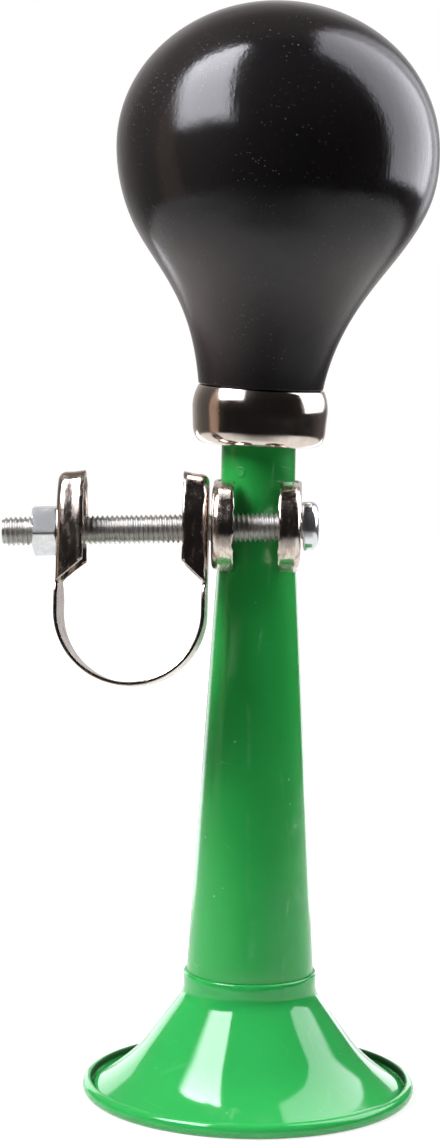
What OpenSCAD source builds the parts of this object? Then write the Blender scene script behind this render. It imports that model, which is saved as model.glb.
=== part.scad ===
// Bulb horn for a bicycle, standing on the rim of its bell.
// The origin is the centre of the rim's resting face, +Z runs up the horn's axis, and the screw points along X.

/* [Bell] */
// Outer radius of the rolled rim
rim_r = 28.4; // [26:0.1:34]
// Radius of the rim's rolled bead
bead_r = 1.3; // [1.2:0.1:1.8]
// Height of the bead's centre over the resting face
bead_z = 1.2; // [0.8:0.1:1.2]
// Height where the flare meets the bead
flare_edge_z = 1.7; // [1.5:0.1:2.2]
// Height where the flare starts to bend outwards
flare_bend_z = 9; // [7.5:0.1:11]
// Height where the flare leaves the sleeve
flare_top_z = 17.6; // [16:0.1:24]
// Angle of the flare's straight part from the axis
flare_angle = 36; // [30:0.5:40]
// Outer radius of the sleeve over the cone's end
sleeve_r = 11.3; // [11.1:0.1:13]
// Height of the sleeve
sleeve_h = 3.7; // [3:0.1:8]
// Wall of the bell
bell_wall = 1.4; // [1.1:0.1:1.6]
// Thickness of the ledge that stops the cone's spigot
ledge_t = 1; // [0.8:0.1:1.2]

/* [Horn tube] */
// Outer radius of the cone at the bell's sleeve
tube_r = 10.8; // [10.2:0.1:11]
// Outer radius of the straight throat
throat_r = 6.22; // [5.9:0.02:6.6]
// Length of the cone over the sleeve
taper_l = 76.6; // [60:0.1:78]
// Length of the straight throat under the ferrule
throat_l = 14.2; // [13:0.1:30]
// Wall of the throat
throat_wall = 1.5; // [1.3:0.05:1.6]
// Wall of the spigot inside the bell's sleeve
spigot_wall = 1.2; // [1:0.1:1.5]
// Length of the spigot inside the bell's sleeve
spigot_l = 5; // [4:0.1:6]
// Radius of the collar that the ferrule's floor holds
collar_r = 9.5; // [8.5:0.1:9.6]
// Thickness of the collar
collar_t = 1.4; // [1:0.1:1.8]
// Length of the throat's end over the collar
mouth_l = 6.6; // [5:0.1:8]
// Radius of the moulding's gate mark on the throat
gate_r = 0.85; // [0.5:0.05:1]
// Distance from the screw's axis up to the gate mark
gate_rise = 8.8; // [8.7:0.1:10]
// Angle of the gate mark from the front
gate_angle = 28; // [0:1:90]

/* [Neck ferrule] */
// Largest outer radius of the ferrule
ferrule_r = 11.3; // [11.1:0.1:12]
// Height of the ferrule
ferrule_h = 8.7; // [8:0.1:10]
// Sheet thickness of the ferrule
ferrule_t = 0.5; // [0.4:0.05:0.6]
// Outer radius of the ferrule's mouth
ferrule_mouth_r = 10.4; // [10.2:0.05:10.8]
// Outer radius of the ferrule just over its bottom corner
ferrule_foot_r = 11.05; // [11:0.05:11.3]
// Radius of the ferrule's bottom corner
ferrule_corner_r = 1.4; // [0.8:0.1:1.5]
// Height of the rounded part at the ferrule's mouth
shoulder_h = 2.4; // [1.8:0.1:3]

/* [Bulb] */
// Largest radius of the bulb
bulb_r = 26.7; // [20:0.1:34]
// Height from the ferrule's mouth to the bulb's widest place
bulb_flank_h = 39.6; // [34:0.1:50]
// Height of the crown over the bulb's widest place
bulb_crown_h = 24.2; // [18:0.1:32]
// Radius of the bulb just over the ferrule
bulb_foot_r = 10.4; // [9.8:0.1:11]
// Length over which the bulb's side keeps upright at its widest place
bulb_full = 17.3; // [12:0.1:20]
// Length over which the bulb's side keeps upright over the ferrule
bulb_slim = 14.8; // [10:0.1:18]
// Wall of the bulb
bulb_wall = 2; // [1.5:0.1:2.4]
// Wall of the bulb's neck at the ferrule's mouth
neck_wall = 2.2; // [1.8:0.1:2.5]

/* [Reed] */
// Outer radius of the shallot
shallot_r = 3.6; // [3.4:0.05:3.8]
// Wall of the shallot
shallot_wall = 0.7; // [0.5:0.05:0.8]
// Length of the shallot inside the throat
shallot_foot_l = 17; // [14:0.5:20]
// Length of the shallot over its flange
shallot_head_l = 19; // [17:0.5:22]
// Radius of the shallot's flange
flange_r = 6.3; // [5.8:0.1:6.8]
// Thickness of the shallot's flange
flange_t = 1.2; // [1:0.1:1.5]
// Distance of the shallot's flat face from its axis
face_y = 1.3; // [1.1:0.05:1.5]
// Width of the slot in the flat face
slot_w = 3; // [2.5:0.1:3.4]
// Width of the tongue
tongue_w = 4.6; // [4.2:0.1:4.8]
// Thickness of the tongue
tongue_t = 0.3; // [0.25:0.05:0.4]
// Opening between the tongue's tip and the flat face
tongue_lift = 0.8; // [0.6:0.1:1.2]
// Distance from the tongue's tip to the shallot's top
tip_margin = 1.5; // [1:0.1:2.5]
// Play of the tongue's root between the shallot and the wedge
tongue_play = 0.1; // [0.08:0.01:0.12]
// Height of the collar and the wedge that hold the tongue's root
root_h = 3.2; // [2.5:0.1:4]
// Wall of the collar round the shallot and the wedge
root_collar_t = 0.8; // [0.6:0.1:1]
// Length of the rubber sleeve round the shallot
seal_l = 12; // [8:0.5:14]
// Distance from the throat's end down to the rubber sleeve
seal_depth = 1; // [0.5:0.1:2]

/* [Horn strap] */
// Width of the strip round the throat
strap_h = 14.6; // [13:0.1:14.8]
// Depth of the flanges on the ears
horn_flange = 3.6; // [2.5:0.1:3.8]
// Distance from the horn's axis to the flanges' rear ends
flange_rear_y = 6; // [5.9:0.1:7]

/* [Handlebar strap] */
// Inner radius of the loop that takes a 22.2 mm bar
bar_r = 11.4; // [11.1:0.1:12]
// Distance from the screw's axis to the loop's centre
bar_drop = 13.9; // [13.9:0.1:16]
// Width of the loop's strip
loop_w = 9.6; // [8:0.1:10]
// Width of the ears
ear_w = 10.6; // [10.2:0.1:12]
// Height of the ears over the screw's axis
ear_top = 9.4; // [8.5:0.1:10]
// Depth of the ears under the screw's axis
ear_foot = 8.8; // [8:0.1:10]
// Depth of the flanges on the ears
bar_flange = 4.2; // [3:0.1:4.4]
// Depth under the screw's axis where the flanges slope away
flange_corner = 5.3; // [4:0.1:5.5]
// Distance from the horn's axis to the middle of the loop
loop_x = 20.6; // [20.2:0.1:22]
// Angle that the loop hangs forward
loop_swing = 10; // [0:1:15]

/* [Screw and nut] */
// Height of the screw's axis over the cone's upper end, on the horn's axis
clamp_rise = 0.3; // [-3:0.1:2]
// Distance from the horn's axis forward to the screw's axis
screw_y = 9.5; // [9.4:0.1:11]
// Angle that the screw's head lies higher than its end
screw_tilt = 2; // [0:0.5:2]
// Thread diameter of the screw
screw_d = 4.8; // [4.6:0.05:5]
// Pitch of the thread
pitch = 0.8; // [0.7:0.05:1]
// Depth of the thread
thread_depth = 0.4; // [0.3:0.05:0.45]
// Length of the screw under its head
screw_l = 50; // [48:0.5:55]
// Diameter of the screw's head
head_d = 8.2; // [7.5:0.1:9.5]
// Height of the screw's head
head_h = 2.6; // [2.2:0.1:3.5]
// Rounding of the head's outer edge
head_round = 1.2; // [0.8:0.1:1.4]
// Width of one arm of the cross recess
recess_w = 1; // [0.8:0.1:1.2]
// Length across the cross recess
recess_l = 4.4; // [3.5:0.1:5]
// Depth of the cross recess
recess_depth = 1.4; // [1:0.1:1.6]
// Width of the nut across its flats
nut_af = 7.8; // [7.6:0.1:8]
// Thickness of the nut
nut_t = 4; // [3.5:0.1:4.7]
// Depth of the chamfer on the nut's corners
nut_chamfer = 0.35; // [0.2:0.05:0.5]

/* [Sheet and fits] */
// Sheet thickness of both straps
strap_t = 0.6; // [0.5:0.05:0.8]
// Diameter of the holes for the screw in both straps
hole_d = 6; // [5.9:0.1:6.2]
// Radial clearance of the horn strap on the throat
strap_gap = 0.1; // [0.05:0.01:0.2]
// Radial clearance of the nut's bore over the thread
thread_gap = 0.1; // [0.05:0.01:0.2]
// Gap from the horn strap to the screw's head
head_gap = 0.25; // [0.1:0.05:0.4]
// Gap from the handlebar strap to the nut
nut_gap = 0.3; // [0.2:0.05:0.5]
// Gap of the seam between the sleeve and the cone
seam_gap = 0.1; // [0.05:0.05:0.3]
// Clearance of the fixed joints
seat_gap = 0.05; // [0.02:0.01:0.08]
// Gap round the soft rubber of the bulb
rubber_gap = 0.3; // [0.2:0.05:0.35]

/* [Hidden] */
$fn = 96;
CURVE_STEPS = 12;
FLANK_STEPS = 24;
CROWN_STEPS = 18;
// How far a cut runs past the solid that it goes through
CUT = 1;
GREEN = [0.18, 0.72, 0.36];
NICKEL = [0.78, 0.74, 0.7];
ZINC = [0.74, 0.78, 0.82];
BRASS = [0.8, 0.65, 0.3];
RUBBER = [0.08, 0.08, 0.09];

// Heights along the horn's axis, from the rim up
sleeve_top_z = flare_top_z + sleeve_h;
shoulder_z = sleeve_top_z + seam_gap;
spigot_end_z = shoulder_z - spigot_l;
taper_top_z = shoulder_z + taper_l;
ferrule_z = taper_top_z + throat_l;
ferrule_top_z = ferrule_z + ferrule_h;
collar_z = ferrule_z + ferrule_t + seat_gap;
collar_top_z = collar_z + collar_t;
mouth_z = collar_top_z + mouth_l;
clamp_z = taper_top_z + clamp_rise;
neck_z = collar_top_z + rubber_gap;
bulb_foot_z = ferrule_top_z + rubber_gap;
bulb_mid_z = ferrule_top_z + bulb_flank_h;
flange_z = mouth_z + seat_gap;
flange_top_z = flange_z + flange_t;
shallot_top_z = flange_top_z + shallot_head_l;
root_z = flange_top_z + seat_gap;
root_top_z = root_z + root_h;
tip_z = shallot_top_z - tip_margin;

// Radii that follow from the piece that they fit
spigot_r = sleeve_r - bell_wall - seat_gap;
spigot_bore_r = spigot_r - spigot_wall;
sleeve_bore_r = spigot_r + seat_gap;
bore_r = throat_r - throat_wall;
neck_r = ferrule_mouth_r - ferrule_t - rubber_gap;
neck_bore_r = neck_r - neck_wall;
neck_bead_r = ferrule_foot_r - ferrule_t - rubber_gap;
mouth_r = neck_bore_r - rubber_gap;
strap_inner_r = tube_radius(clamp_z - strap_h / 2) + strap_gap;
strap_outer_r = strap_inner_r + strap_t;
loop_half = bar_r + strap_t;
thread_r = screw_d / 2;
wedge_y = face_y + tongue_t + 2 * tongue_play;

// Places along the screw's axis, from the horn's axis
head_u = strap_outer_r + head_gap;
nut_u = -(loop_x + loop_half + nut_gap);

// Outer radius of the cone and the throat at a height
function tube_radius(z) =
    z > taper_top_z ? throat_r : throat_r + (taper_top_z - z) * (tube_r - throat_r) / taper_l;

// Points of a bend that leaves p0 along a direction and ends at p1
function bend(p0, along, p1) =
    let (chord = p1 - p0, mid = p0 + along * (chord * chord) / (2 * (chord * along)))
    [for (i = [0 : CURVE_STEPS]) let (t = i / CURVE_STEPS, s = 1 - t)
        s * s * p0 + 2 * s * t * mid + t * t * p1];

// Direction in which such a bend ends, and the direction square to another, on its right
function bend_end(p0, along, p1) =
    let (chord = (p1 - p0) / norm(p1 - p0)) 2 * (chord * along) * chord - along;
function right_of(along) = [along[1], -along[0]];

// Points on a circle from angle a to angle b
function arc(centre, r, a, b) =
    [for (i = [0 : CURVE_STEPS]) let (t = a + (b - a) * i / CURVE_STEPS) centre + r * [cos(t), sin(t)]];

// Points of the bulb's side, from its widest place down to its foot
function flank(top, foot) =
    [for (i = [0 : FLANK_STEPS]) let (t = i / FLANK_STEPS, s = 1 - t)
        s * s * s * top + 3 * s * s * t * (top - [0, bulb_full])
            + 3 * s * t * t * (foot + [0, bulb_slim]) + t * t * t * foot];

// Points of the bulb's crown, from its top down to its widest place
function crown(r, h) =
    [for (i = [0 : CROWN_STEPS]) let (t = 90 - 90 * i / CROWN_STEPS) [r * cos(t), bulb_mid_z + h * sin(t)]];

function flip(points) = [for (i = [len(points) - 1 : -1 : 0]) points[i]];

// Stands an outline drawn in Y and Z up and gives it a thickness along X
module slab(x0, x1) {
    translate([x0, 0, 0]) rotate([90, 0, 90]) linear_extrude(x1 - x0) children();
}

// Puts what is built along Z on the screw's axis, from a place along it
module on_screw(u) {
    translate([0, -screw_y, clamp_z]) rotate([0, 90 - screw_tilt, 0]) translate([0, 0, u]) children();
}

module both_sides() {
    children();
    mirror([1, 0, 0]) children();
}

module bulb() {
    bead_top_z = ferrule_top_z - shoulder_h - rubber_gap;
    outside = concat(
        [for (p = crown(bulb_r, bulb_crown_h)) p],
        flank([bulb_r, bulb_mid_z], [bulb_foot_r, bulb_foot_z]),
        [[neck_r, bulb_foot_z], [neck_r, ferrule_top_z - rubber_gap], [neck_bead_r, bead_top_z],
            [neck_bead_r, neck_z]]);
    inside = concat(
        [[neck_bore_r, neck_z]],
        flip(flank([bulb_r - bulb_wall, bulb_mid_z], [neck_bore_r, bulb_foot_z])),
        flip(crown(bulb_r - bulb_wall, bulb_crown_h - bulb_wall)));
    color(RUBBER) rotate_extrude() polygon(concat(outside, inside));
}

module neck_ferrule() {
    floor_bore_r = throat_r + seat_gap;
    corner = [ferrule_foot_r - ferrule_corner_r, ferrule_z + ferrule_corner_r];
    side_z = ferrule_top_z - shoulder_h;
    up = [0, 1];
    outside = concat(
        [[floor_bore_r, ferrule_z]],
        arc(corner, ferrule_corner_r, -90, 0),
        bend([ferrule_r, side_z], up, [ferrule_mouth_r, ferrule_top_z]));
    inside = concat(
        flip(bend([ferrule_r - ferrule_t, side_z], up, [ferrule_mouth_r - ferrule_t, ferrule_top_z])),
        arc(corner, ferrule_corner_r - ferrule_t, 0, -90),
        [[floor_bore_r, ferrule_z + ferrule_t]]);
    color(NICKEL) rotate_extrude() polygon(concat(outside, inside));
}

module horn_tube() {
    color(GREEN) {
        rotate_extrude() polygon([
            [spigot_bore_r, spigot_end_z], [spigot_r, spigot_end_z], [spigot_r, shoulder_z], [tube_r, shoulder_z],
            [throat_r, taper_top_z], [throat_r, collar_z], [collar_r, collar_z], [collar_r, collar_top_z],
            [mouth_r, collar_top_z], [mouth_r, mouth_z], [bore_r, mouth_z], [bore_r, taper_top_z]]);
        gate_mark();
    }
}

// The small raised disc where the moulding was cut from its runner
module gate_mark() {
    stand_out = 0.12;
    root = throat_r - throat_wall / 2;
    rotate([0, 0, -gate_angle]) translate([0, -root, clamp_z + gate_rise]) rotate([90, 0, 0])
        cylinder(r = gate_r, h = throat_r + stand_out - root);
}

module bell_flare() {
    along = [sin(flare_angle), -cos(flare_angle)];
    start = [sleeve_r, flare_top_z];
    bend_start = start + along * (flare_top_z - flare_bend_z) / cos(flare_angle);
    edge = [rim_r - 2 * bead_r, flare_edge_z];
    bead = [rim_r - bead_r, bead_z];
    wall_start = bell_wall * right_of(along);
    wall_end = bell_wall * right_of(bend_end(bend_start, along, edge));
    stop_z = spigot_end_z - seat_gap;
    ledge_foot_z = stop_z - 2 * ledge_t;
    outside = concat([start], bend(bend_start, along, edge));
    inside = concat(
        flip(bend(bend_start + wall_start, along, edge + wall_end)),
        [start + wall_start + along * (start + wall_start - [0, ledge_foot_z])[1] / cos(flare_angle)]);
    color(GREEN) difference() {
        union() {
            rotate_extrude() polygon(concat(
                [[sleeve_bore_r, sleeve_top_z], [sleeve_r, sleeve_top_z]],
                outside, [bead], inside,
                [[spigot_bore_r, stop_z - ledge_t], [spigot_bore_r, stop_z], [sleeve_bore_r, stop_z]]));
            rotate_extrude() translate(bead) circle(bead_r);
        }
        translate([0, 0, -bead_r]) cylinder(r = rim_r + CUT, h = bead_r);
    }
}

module reed_shallot() {
    bore = shallot_r - shallot_wall;
    slot_z = root_top_z + seat_gap;
    color(BRASS) difference() {
        union() {
            translate([0, 0, flange_z - shallot_foot_l]) cylinder(r = shallot_r, h = shallot_foot_l + flange_t);
            translate([0, 0, flange_z]) cylinder(r = flange_r, h = flange_t);
            shallot_half(shallot_r, face_y, flange_z, shallot_top_z);
        }
        translate([0, 0, flange_z - shallot_foot_l - CUT]) cylinder(r = bore, h = shallot_foot_l + flange_t);
        shallot_half(bore, face_y - shallot_wall, flange_top_z - 2 * CUT, shallot_top_z - shallot_wall);
        translate([-slot_w / 2, -face_y - CUT, slot_z])
            cube([slot_w, CUT + shallot_wall + CUT, tip_z - slot_z - tip_margin]);
    }
}

// A round rod with its front cut flat
module shallot_half(r, flat_y, z0, z1) {
    difference() {
        translate([0, 0, z0]) cylinder(r = r, h = z1 - z0);
        translate([-r - CUT, -r - CUT - flat_y, z0 - CUT]) cube([2 * (r + CUT), r + CUT, z1 - z0 + 2 * CUT]);
    }
}

module reed_tongue() {
    back = -face_y - tongue_play;
    front = back - tongue_t;
    tip = back - tongue_lift;
    color(BRASS) slab(-tongue_w / 2, tongue_w / 2) polygon([
        [back, root_z], [back, root_top_z], [tip, tip_z], [tip - tongue_t, tip_z], [front, root_top_z],
        [front, root_z]]);
}

module reed_wedge() {
    color(BRASS) difference() {
        translate([0, 0, root_z]) cylinder(r = shallot_r, h = root_h);
        translate([-shallot_r - CUT, -wedge_y, root_z - CUT])
            cube([2 * (shallot_r + CUT), wedge_y + shallot_r + CUT, root_h + 2 * CUT]);
    }
}

module reed_collar() {
    bore = shallot_r + seat_gap;
    color(BRASS) translate([0, 0, root_z]) difference() {
        cylinder(r = bore + root_collar_t, h = root_h);
        translate([0, 0, -CUT]) cylinder(r = bore, h = root_h + 2 * CUT);
    }
}

module reed_sleeve() {
    color(RUBBER) translate([0, 0, mouth_z - seal_depth - seal_l]) difference() {
        cylinder(r = bore_r - seat_gap, h = seal_l);
        translate([0, 0, -CUT]) cylinder(r = shallot_r + seat_gap, h = seal_l + 2 * CUT);
    }
}

// Side of a horn strap's ear, smaller all round by a margin
module horn_ear_outline(margin) {
    r = strap_h / 2 - margin;
    translate([-screw_y, 0]) circle(r);
    translate([-screw_y, -r]) square([screw_y, 2 * r]);
}

module horn_ear() {
    difference() {
        slab(strap_outer_r - horn_flange, strap_outer_r) horn_ear_outline(0);
        slab(strap_outer_r - horn_flange - CUT, strap_inner_r) horn_ear_outline(strap_t);
        translate([0, -flange_rear_y, -strap_h]) cube([strap_inner_r, flange_rear_y + CUT, 2 * strap_h]);
    }
}

module horn_strap() {
    color(NICKEL) translate([0, 0, clamp_z]) difference() {
        union() {
            difference() {
                cylinder(r = strap_outer_r, h = strap_h, center = true);
                cylinder(r = strap_inner_r, h = strap_h + 2 * CUT, center = true);
                translate([-strap_outer_r - CUT, -strap_outer_r - CUT, -strap_h])
                    cube([2 * (strap_outer_r + CUT), strap_outer_r + CUT, 2 * strap_h]);
            }
            both_sides() horn_ear();
        }
        translate([0, -screw_y, 0]) rotate([0, 90, 0])
            cylinder(d = hole_d, h = 2 * (strap_outer_r + CUT), center = true);
    }
}

// Side of a handlebar strap's ear, smaller all round by a margin
module bar_ear_outline(margin) {
    r = ear_w / 2 - margin;
    round_z = ear_top - ear_w / 2;
    foot_z = margin > 0 ? -ear_foot - CUT : -ear_foot;
    translate([0, round_z]) circle(r);
    translate([-r, foot_z]) square([2 * r, round_z - foot_z]);
}

module bar_ear() {
    edge = loop_half - bar_flange;
    difference() {
        slab(edge, loop_half) bar_ear_outline(0);
        slab(edge - CUT, bar_r) bar_ear_outline(strap_t);
        rotate([90, 0, 0]) linear_extrude(ear_w + 2 * CUT, center = true) polygon([
            [edge - CUT, -flange_corner], [edge, -flange_corner], [bar_r, -ear_foot], [bar_r, -ear_foot - CUT],
            [edge - CUT, -ear_foot - CUT]]);
    }
}

module handlebar_strap() {
    color(NICKEL) translate([-loop_x, -screw_y, clamp_z - loop_x * tan(screw_tilt)]) rotate([-loop_swing, 0, 0])
        difference() {
            union() {
                both_sides() {
                    bar_ear();
                    translate([bar_r, -loop_w / 2, -bar_drop]) cube([strap_t, loop_w, bar_drop - ear_foot + CUT]);
                }
                difference() {
                    translate([0, 0, -bar_drop]) rotate([90, 0, 0])
                        cylinder(r = loop_half, h = loop_w, center = true);
                    translate([0, 0, -bar_drop]) rotate([90, 0, 0])
                        cylinder(r = bar_r, h = loop_w + 2 * CUT, center = true);
                    translate([-loop_half - CUT, -loop_w, -bar_drop])
                        cube([2 * (loop_half + CUT), 2 * loop_w, loop_half + CUT]);
                }
            }
            rotate([0, 90, 0]) cylinder(d = hole_d, h = 2 * (loop_half + CUT), center = true);
        }
}

module clamp_screw() {
    turns = floor(screw_l / pitch);
    root_r = thread_r - thread_depth;
    // The grooves run round the screw, and each crest lies half a pitch past its groove
    thread = [for (i = [0 : turns - 1]) each [[root_r, i * pitch], [thread_r, (i + 0.5) * pitch]]];
    head_r = head_d / 2;
    head_edge = [head_r - head_round, screw_l + head_h - head_round];
    color(ZINC) on_screw(head_u - screw_l) difference() {
        rotate_extrude() polygon(concat(
            [[0, 0]], thread, [[root_r, turns * pitch], [root_r, screw_l], [head_r, screw_l]],
            arc(head_edge, head_round, 0, 90), [[0, screw_l + head_h]]));
        translate([0, 0, screw_l + head_h - recess_depth]) for (turn = [0, 90])
            rotate([0, 0, turn]) translate([-recess_l / 2, -recess_w / 2, 0])
                cube([recess_l, recess_w, recess_depth + CUT]);
    }
}

module clamp_nut() {
    corner_r = nut_af / 2 / cos(30);
    color(ZINC) on_screw(nut_u - nut_t) difference() {
        intersection() {
            rotate([0, 0, 30]) cylinder(r = corner_r, h = nut_t, $fn = 6);
            rotate_extrude() polygon([
                [0, 0], [nut_af / 2, 0], [corner_r, nut_chamfer], [corner_r, nut_t - nut_chamfer],
                [nut_af / 2, nut_t], [0, nut_t]]);
        }
        translate([0, 0, -CUT]) cylinder(r = thread_r + thread_gap, h = nut_t + 2 * CUT);
    }
}

bulb();
neck_ferrule();
horn_tube();
bell_flare();
reed_shallot();
reed_tongue();
reed_wedge();
reed_collar();
reed_sleeve();
horn_strap();
handlebar_strap();
clamp_screw();
clamp_nut();
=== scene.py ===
"""Bulb horn for a bicycle, dressed round its CAD frame: rubber bulb, nickel ferrule and straps, green
plastic horn, zinc screw and nut. Sizes of the pieces are in millimetres, and the meshes are made in metres.
Trees and materials work in metres."""

import math

import bmesh
import bpy
from mathutils import Matrix, Vector, noise


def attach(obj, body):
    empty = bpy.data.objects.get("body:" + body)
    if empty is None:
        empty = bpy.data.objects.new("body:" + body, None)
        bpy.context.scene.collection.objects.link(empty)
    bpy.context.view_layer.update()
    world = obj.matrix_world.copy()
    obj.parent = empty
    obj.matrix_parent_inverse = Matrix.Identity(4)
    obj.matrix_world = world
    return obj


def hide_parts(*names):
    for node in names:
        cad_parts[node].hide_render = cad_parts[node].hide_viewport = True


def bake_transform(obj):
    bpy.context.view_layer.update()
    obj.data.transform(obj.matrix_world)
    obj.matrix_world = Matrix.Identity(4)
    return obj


MM = 0.001

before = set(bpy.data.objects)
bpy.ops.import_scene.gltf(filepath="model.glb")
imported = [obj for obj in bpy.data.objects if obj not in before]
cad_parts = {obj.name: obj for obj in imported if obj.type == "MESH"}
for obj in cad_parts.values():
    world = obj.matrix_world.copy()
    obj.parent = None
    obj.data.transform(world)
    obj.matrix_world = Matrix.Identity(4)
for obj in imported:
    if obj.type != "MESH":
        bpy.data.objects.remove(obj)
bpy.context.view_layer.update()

# Sizes of the pieces. R is a radius, W a width, H a height, T a thickness and Z a height over the rest face
RIM_R, BEAD_R, BEAD_Z = 28.4, 1.3, 1.2
FLARE_EDGE_Z, FLARE_BEND_Z, FLARE_TOP_Z, FLARE_ANGLE = 1.7, 9.0, 17.6, 36.0
SLEEVE_R, SLEEVE_TOP_Z, BELL_WALL = 11.3, 21.3, 1.4
SPIGOT_END_Z, SPIGOT_R, SPIGOT_BORE_R = 16.4, 9.85, 8.65
TUBE_R, THROAT_R, BORE_R, TAPER_TOP_Z = 10.8, 6.22, 4.72, 98.0
COLLAR_R, COLLAR_Z, COLLAR_TOP_Z, TUBE_MOUTH_R, TUBE_MOUTH_Z = 9.5, 112.75, 114.15, 7.1, 120.75
FERRULE_Z, FERRULE_TOP_Z, FERRULE_R, FERRULE_T = 112.2, 120.9, 11.35, 0.5
FERRULE_MOUTH_R, FERRULE_FOOT_R, CORNER_W, CORNER_H, SHOULDER_H = 10.55, 11.15, 1.6, 2.9, 3.6
FERRULE_FLOOR_R, FERRULE_SAG = 8.4, 0.7
GATE_RISE, GATE_TURN = 8.8, -28.0
BULB_R, BULB_MID_Z, CROWN_H, BULB_FOOT_R, BULB_FOOT_Z = 26.8, 160.5, 24.2, 10.45, 121.2
BULB_FULL, BULB_SLIM, BULB_WALL, NECK_R, NECK_BORE_R, NECK_Z = 17.7, (3.0, 20.3), 2.0, 9.6, 7.4, 114.45
CLAMP_Z, SCREW_Y, SCREW_TILT = 98.3, 9.5, 2.0
STRAP_T, EDGE_ROUND, HOLE_R, STRAP_R, STRAP_H, HORN_FLANGE = 0.6, 0.08, 3.0, 7.339, 14.6, 3.6
LOOP_R, LOOP_X, LOOP_DROP, LOOP_W, LOOP_SWING, LOOP_PINCH = 12.48, 20.38, 13.6, 9.6, 10.0, 0.15
EAR_W, EAR_TOP, EAR_FOOT, RIGHT_FLANGE, LEFT_FLANGE, FLANGE_CORNER = 10.6, 9.4, 8.8, 4.11, 4.45, 5.3
THREAD_R, THREAD_DEPTH, PITCH, SCREW_L, HEAD_U = 2.4, 0.4, 0.8, 50.0, 7.589
HEAD_R, HEAD_H, HEAD_ROUND, RECESS_DEPTH, RECESS_TURN = 4.1, 2.6, 1.2, 1.4, 20.0
NUT_AF, NUT_T, NUT_U, NUT_BORE_R, NUT_TURN = 7.8, 4.0, -32.9, 2.5, 210.0


# Camera

def place_camera():
    """Stands where the photograph was taken from, with the same lens and the same small roll."""
    seat = Vector((7.0, -491.63, 146.56)) * MM
    aim = Vector((-6.17, 0.0, 89.85)) * MM
    roll = math.radians(0.896)
    ahead = (aim - seat).normalized()
    level = ahead.cross(Vector((0, 0, 1))).normalized()
    upright = level.cross(ahead)
    right = math.cos(roll) * level + math.sin(roll) * upright
    up = math.cos(roll) * upright - math.sin(roll) * level
    lens = bpy.data.cameras.new("Camera")
    lens.sensor_fit = "VERTICAL"
    lens.sensor_height = 36.0
    lens.lens = 92.51
    lens.clip_start, lens.clip_end = 0.01, 20.0
    camera = linked("Camera", lens)
    camera.matrix_world = Matrix((right, up, -ahead)).transposed().to_4x4()
    camera.location = seat
    bpy.context.scene.camera = camera


# Node trees

FLOAT, WHOLE, VECTOR = "NodeSocketFloat", "NodeSocketInt", "NodeSocketVector"
GEOMETRY, MATERIAL = "NodeSocketGeometry", "NodeSocketMaterial"


class Graph:
    """Adds nodes to a tree. An input is a plain value or another node's output."""

    def __init__(self, tree):
        self.tree = tree

    def add(self, kind, inputs=None, out=0, **settings):
        made = self.tree.nodes.new(kind)
        for key, value in settings.items():
            setattr(made, key, value)
        for key, value in (inputs or {}).items():
            if isinstance(value, bpy.types.NodeSocket):
                self.tree.links.new(value, made.inputs[key])
            else:
                made.inputs[key].default_value = value
        return made.outputs[out]

    def math(self, operation, *values, clamp=False):
        return self.add("ShaderNodeMath", dict(enumerate(values)), operation=operation, use_clamp=clamp)

    def times(self, *values):
        return self.math("MULTIPLY", *values)

    def over(self, *values):
        return self.math("DIVIDE", *values)

    def plus(self, *values):
        return self.math("ADD", *values)

    def minus(self, *values):
        return self.math("SUBTRACT", *values)

    def vector(self, operation, *values, out=0):
        return self.add("ShaderNodeVectorMath", dict(enumerate(values)), out, operation=operation)

    def ramp(self, value, low, high, to_low=0.0, to_high=1.0, kind="SMOOTHSTEP"):
        return self.add("ShaderNodeMapRange", {"Value": value, "From Min": low, "From Max": high,
            "To Min": to_low, "To Max": to_high}, interpolation_type=kind)

    def mix(self, share, a, b):
        return self.add("ShaderNodeMix", {0: share, 6: a, 7: b}, 2, data_type="RGBA")

    def parts(self, vector):
        return self.add("ShaderNodeSeparateXYZ", {0: vector}).node.outputs

    def point(self, x, y, z):
        return self.add("ShaderNodeCombineXYZ", {0: x, 1: y, 2: z})

    def surface(self, geometry, finish):
        smooth = self.add("GeometryNodeSetShadeSmooth", {"Geometry": geometry})
        real = self.add("GeometryNodeRealizeInstances", {"Geometry": smooth})
        return self.add("GeometryNodeSetMaterial", {"Geometry": real, "Material": finish})

    def end(self, kind, value):
        self.tree.links.new(value, self.tree.nodes.new(kind).inputs[0])
        return self.tree

    def noise(self, vector, scale, detail=2.0, roughness=0.5, distortion=0.0, out=0):
        return self.add("ShaderNodeTexNoise", {"Vector": vector, "Scale": scale, "Detail": detail,
            "Roughness": roughness, "Distortion": distortion}, out)


def new_group(name, kind, output, **inputs):
    """The graph of an empty node group, and what it is given. An input is declared by its usual value, or by
    the kind of its socket where it has none."""
    tree = bpy.data.node_groups.new(name, kind)
    kinds = {float: FLOAT, int: WHOLE, tuple: VECTOR}
    for key, value in inputs.items():
        has_value = type(value) in kinds
        socket = tree.interface.new_socket(key.replace("_", " "), in_out="INPUT",
            socket_type=kinds[type(value)] if has_value else value)
        if has_value:
            socket.default_value = value
    tree.interface.new_socket("Result", in_out="OUTPUT", socket_type=output)
    return Graph(tree), tree.nodes.new("NodeGroupInput").outputs


def emptied(owner):
    """The graph of a material or a world, with nothing in it yet."""
    owner.use_nodes = True
    owner.node_tree.nodes.clear()
    return Graph(owner.node_tree)


# Surface effects that several finishes share

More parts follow.
